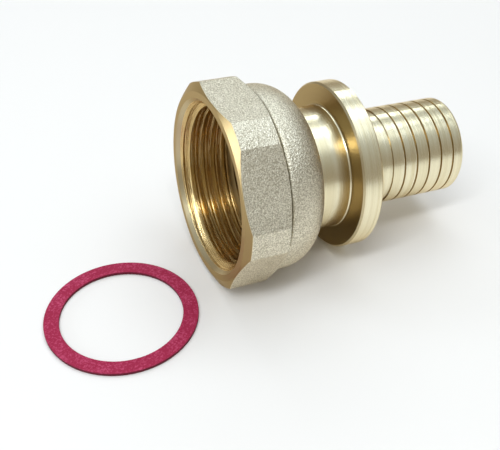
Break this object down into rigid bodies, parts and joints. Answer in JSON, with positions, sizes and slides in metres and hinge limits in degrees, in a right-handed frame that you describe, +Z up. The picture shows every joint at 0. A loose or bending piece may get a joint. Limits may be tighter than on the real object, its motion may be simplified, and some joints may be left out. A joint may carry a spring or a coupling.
{
  "type": "pipe transition coupling with union nut",
  "caption": "Brass coupling with a swivelling hexagon union nut, stop disc and saw-tooth spigot for plastic pipe, with its flat fibre gasket lying beside it.",
  "frame": {"origin": "centre of the footprint, on the ground that the coupling and its gasket lie on", "axes": "+X from the nut's mouth to the spigot's end as seen from above, +Z up; the coupling's axis runs parallel to the XZ plane and sinks toward the spigot"},
  "size_m": [0.0902, 0.0428, 0.0383],
  "materials": {
    "forged_brass": "shot-blasted forging",
    "turned_brass": "bright turned",
    "red_fibre": "matt punched fibre"
  },
  "bodies": {
    "tail": {"tailpiece": "turned_brass", "gasket": "red_fibre"},
    "nut": {"union_nut": "forged_brass"}
  },
  "joints": [
    {"name": "nut_swivel", "type": "hinge", "parent": "tail", "child": "nut", "pos_m": [0.00042, 0.0011, 0.01874], "axis": [-0.9958, 0, 0.0918], "continuous": true}
  ]
}
